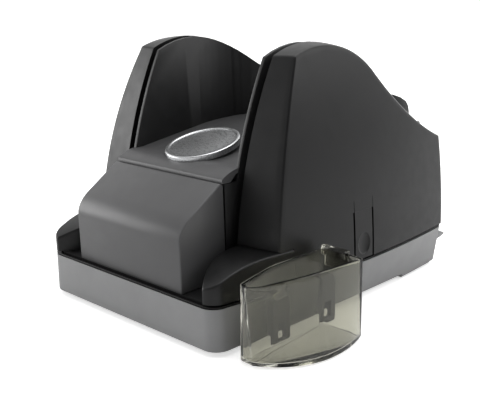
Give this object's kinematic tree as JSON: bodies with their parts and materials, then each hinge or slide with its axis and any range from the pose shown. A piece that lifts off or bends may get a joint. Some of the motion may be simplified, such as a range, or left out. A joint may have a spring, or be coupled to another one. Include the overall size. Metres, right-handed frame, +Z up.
{
  "type": "cheque scanner",
  "caption": "Desktop cheque scanner: two towers form an open-topped horseshoe document path round a lower centre block, with a smoked side pocket, lift-off covers and a hinged rear lid.",
  "frame": {"origin": "middle of the bounding box, on the table top that the feet stand on", "axes": "+X to the side with the pocket, where the document goes in; +Y from the front with the mouths to the back with the sockets; +Z up"},
  "size_m": [0.189, 0.198, 0.1435],
  "materials": {
    "base_plastic": "fine-textured moulded ABS",
    "foot_rubber": "matt",
    "guide_plastic": "smooth moulded ABS",
    "screw_steel": "zinc plated",
    "board_green": "solder resist",
    "socket_black": "moulded nylon",
    "fascia_plastic": "fine-textured moulded ABS",
    "badge_silver": "brushed silver lacquer with a polished rim",
    "charcoal_plastic": "fine-textured moulded ABS",
    "shaft_steel": "ground",
    "motor_can": "grey lacquer",
    "pulley_acetal": "moulded acetal",
    "belt_rubber": "matt",
    "tyre_rubber": "ground",
    "bush_nylon": "moulded nylon",
    "arm_steel": "zinc plated pressing",
    "idler_acetal": "moulded acetal",
    "magnet_grey": "sintered magnet in a lacquer coat",
    "head_case": "screening case",
    "sensor_body": "black lacquer",
    "cartridge_black": "moulded",
    "smoked_plastic": "clear smoked polycarbonate",
    "bracket_plastic": "moulded ABS"
  },
  "bodies": {
    "machine": {"base_tray": "base_plastic", "rubber_feet": "foot_rubber", "deck": "guide_plastic", "deck_screws": "screw_steel", "connector_hood": "base_plastic", "main_board": "board_green", "power_inlet": "socket_black", "usb_socket": "socket_black", "inner_guide": "guide_plastic", "outer_guide": "guide_plastic", "centre_cover": "fascia_plastic", "badge": "badge_silver", "front_fascia": "fascia_plastic", "entry_nose": "charcoal_plastic", "exit_nose": "charcoal_plastic", "rear_housing": "charcoal_plastic", "rear_hinge_pins": "shaft_steel", "drive_motor": "motor_can", "drive_belt": "belt_rubber", "shaft_bushes": "bush_nylon", "pinch_pivots": "shaft_steel", "magnet_bar": "magnet_grey", "read_head": "head_case", "front_image_sensor": "sensor_body", "back_image_sensor": "sensor_body", "ink_cartridge": "cartridge_black", "cartridge_cradle": "guide_plastic", "pocket_brackets": "bracket_plastic"},
    "right_cover_body": {"right_cover": "charcoal_plastic"},
    "left_cover_body": {"left_cover": "charcoal_plastic"},
    "right_latch_body": {"right_latch": "charcoal_plastic"},
    "left_latch_body": {"left_latch": "charcoal_plastic"},
    "rear_cover_body": {"rear_cover": "charcoal_plastic"},
    "pocket_body": {"side_pocket": "smoked_plastic", "pocket_clip": "smoked_plastic"},
    "motor_rotor": {"motor_shaft": "shaft_steel", "motor_pulley": "pulley_acetal"},
    "entry_drive": {"entry_shaft": "shaft_steel", "entry_roller": "tyre_rubber", "entry_pulley": "pulley_acetal"},
    "entry_arm": {"entry_pinch_arm": "arm_steel", "entry_pinch_axle": "shaft_steel", "entry_pinch_spring": "shaft_steel"},
    "entry_idler": {"entry_pinch_roller": "idler_acetal"},
    "turn_drive": {"turn_shaft": "shaft_steel", "turn_roller": "tyre_rubber", "turn_pulley": "pulley_acetal"},
    "turn_arm": {"turn_pinch_arm": "arm_steel", "turn_pinch_axle": "shaft_steel", "turn_pinch_spring": "shaft_steel"},
    "turn_idler": {"turn_pinch_roller": "idler_acetal"},
    "exit_drive": {"exit_shaft": "shaft_steel", "exit_roller": "tyre_rubber", "exit_pulley": "pulley_acetal"},
    "exit_arm": {"exit_pinch_arm": "arm_steel", "exit_pinch_axle": "shaft_steel", "exit_pinch_spring": "shaft_steel"},
    "exit_idler": {"exit_pinch_roller": "idler_acetal"}
  },
  "joints": [
    {"name": "motor_spin", "type": "hinge", "parent": "machine", "child": "motor_rotor", "pos_m": [-0.0165, -0.066, 0.02], "axis": [0, 0, 1], "continuous": true},
    {"name": "entry_spin", "type": "hinge", "parent": "machine", "child": "entry_drive", "pos_m": [0.0202, -0.044, 0.04], "axis": [0, 0, 1], "continuous": true},
    {"name": "turn_spin", "type": "hinge", "parent": "machine", "child": "turn_drive", "pos_m": [-0.0165, 0.0327, 0.04], "axis": [0, 0, 1], "continuous": true},
    {"name": "exit_spin", "type": "hinge", "parent": "machine", "child": "exit_drive", "pos_m": [-0.0532, -0.044, 0.04], "axis": [0, 0, 1], "continuous": true},
    {"name": "entry_pinch_swing", "type": "hinge", "parent": "machine", "child": "entry_arm", "pos_m": [0.0475, -0.036, 0.042], "axis": [0, 0, 1], "range_deg": [0, 5], "stiffness_Nm_per_rad": 0.1, "springref_deg": -5.73},
    {"name": "entry_pinch_spin", "type": "hinge", "parent": "entry_arm", "child": "entry_idler", "pos_m": [0.0355, -0.044, 0.042], "axis": [0, 0, 1], "continuous": true},
    {"name": "turn_pinch_swing", "type": "hinge", "parent": "machine", "child": "turn_arm", "pos_m": [-0.0245, 0.06, 0.042], "axis": [0, 0, 1], "range_deg": [0, 5], "stiffness_Nm_per_rad": 0.1, "springref_deg": -5.73},
    {"name": "turn_pinch_spin", "type": "hinge", "parent": "turn_arm", "child": "turn_idler", "pos_m": [-0.0165, 0.048, 0.042], "axis": [0, 0, 1], "continuous": true},
    {"name": "exit_pinch_swing", "type": "hinge", "parent": "machine", "child": "exit_arm", "pos_m": [-0.0805, -0.036, 0.042], "axis": [0, 0, -1], "range_deg": [0, 5], "stiffness_Nm_per_rad": 0.1, "springref_deg": -5.73},
    {"name": "exit_pinch_spin", "type": "hinge", "parent": "exit_arm", "child": "exit_idler", "pos_m": [-0.0685, -0.044, 0.042], "axis": [0, 0, 1], "continuous": true},
    {"name": "right_cover_lift", "type": "slide", "parent": "machine", "child": "right_cover_body", "axis": [0, 0, 1], "range_m": [0, 0.115]},
    {"name": "left_cover_lift", "type": "slide", "parent": "machine", "child": "left_cover_body", "axis": [0, 0, 1], "range_m": [0, 0.115]},
    {"name": "right_latch_flex", "type": "hinge", "parent": "right_cover_body", "child": "right_latch_body", "pos_m": [0.0594, 0.006, 0.0539], "axis": [0, 1, 0], "range_deg": [0, 5], "stiffness_Nm_per_rad": 0.5},
    {"name": "left_latch_flex", "type": "hinge", "parent": "left_cover_body", "child": "left_latch_body", "pos_m": [-0.0924, 0.006, 0.0539], "axis": [0, -1, 0], "range_deg": [0, 5], "stiffness_Nm_per_rad": 0.5},
    {"name": "rear_cover_hinge", "type": "hinge", "parent": "machine", "child": "rear_cover_body", "pos_m": [-0.0165, 0.074, 0.08845], "axis": [-1, 0, 0], "range_deg": [0, 100]},
    {"name": "pocket_lift", "type": "slide", "parent": "machine", "child": "pocket_body", "axis": [0, 0, 1], "range_m": [0, 0.04]}
  ],
  "couplings": [
    {"joint": "entry_spin", "follows": "motor_spin", "ratio": 0.71429},
    {"joint": "entry_pinch_spin", "follows": "motor_spin", "ratio": -1.0714},
    {"joint": "turn_spin", "follows": "motor_spin", "ratio": 0.71429},
    {"joint": "turn_pinch_spin", "follows": "motor_spin", "ratio": -1.0714},
    {"joint": "exit_spin", "follows": "motor_spin", "ratio": 0.71429},
    {"joint": "exit_pinch_spin", "follows": "motor_spin", "ratio": -1.0714}
  ]
}
